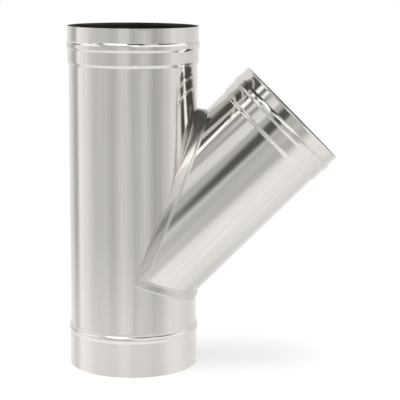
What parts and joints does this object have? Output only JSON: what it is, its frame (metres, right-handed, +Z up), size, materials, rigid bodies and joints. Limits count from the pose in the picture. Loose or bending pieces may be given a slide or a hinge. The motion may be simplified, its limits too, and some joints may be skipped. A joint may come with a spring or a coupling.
{
  "type": "flue branch tee",
  "caption": "Single-wall stainless flue tee: upright tube with a push-fit socket above and a male coupler below, and a 45-degree branch with its own socket.",
  "frame": {"origin": "centre of the lower mouth of the male coupler, on the upright tube's axis", "axes": "+Z up the upright tube, the branch rises towards +X, +Y is the back"},
  "size_m": [0.3169, 0.1552, 0.401],
  "materials": {
    "tube_steel": "bright annealed, soft mirror",
    "coupler_steel": "satin, fine lines round the tube",
    "weld_steel": "satin, light heat tint",
    "silicone": "matte"
  },
  "bodies": {
    "root": {"main_tube": "tube_steel", "branch_tube": "tube_steel", "saddle_collar": "tube_steel", "male_coupler": "coupler_steel", "collar_weld": "weld_steel", "main_seam_weld": "weld_steel", "branch_seam_weld": "weld_steel", "top_gasket": "silicone", "branch_gasket": "silicone"}
  },
  "joints": []
}
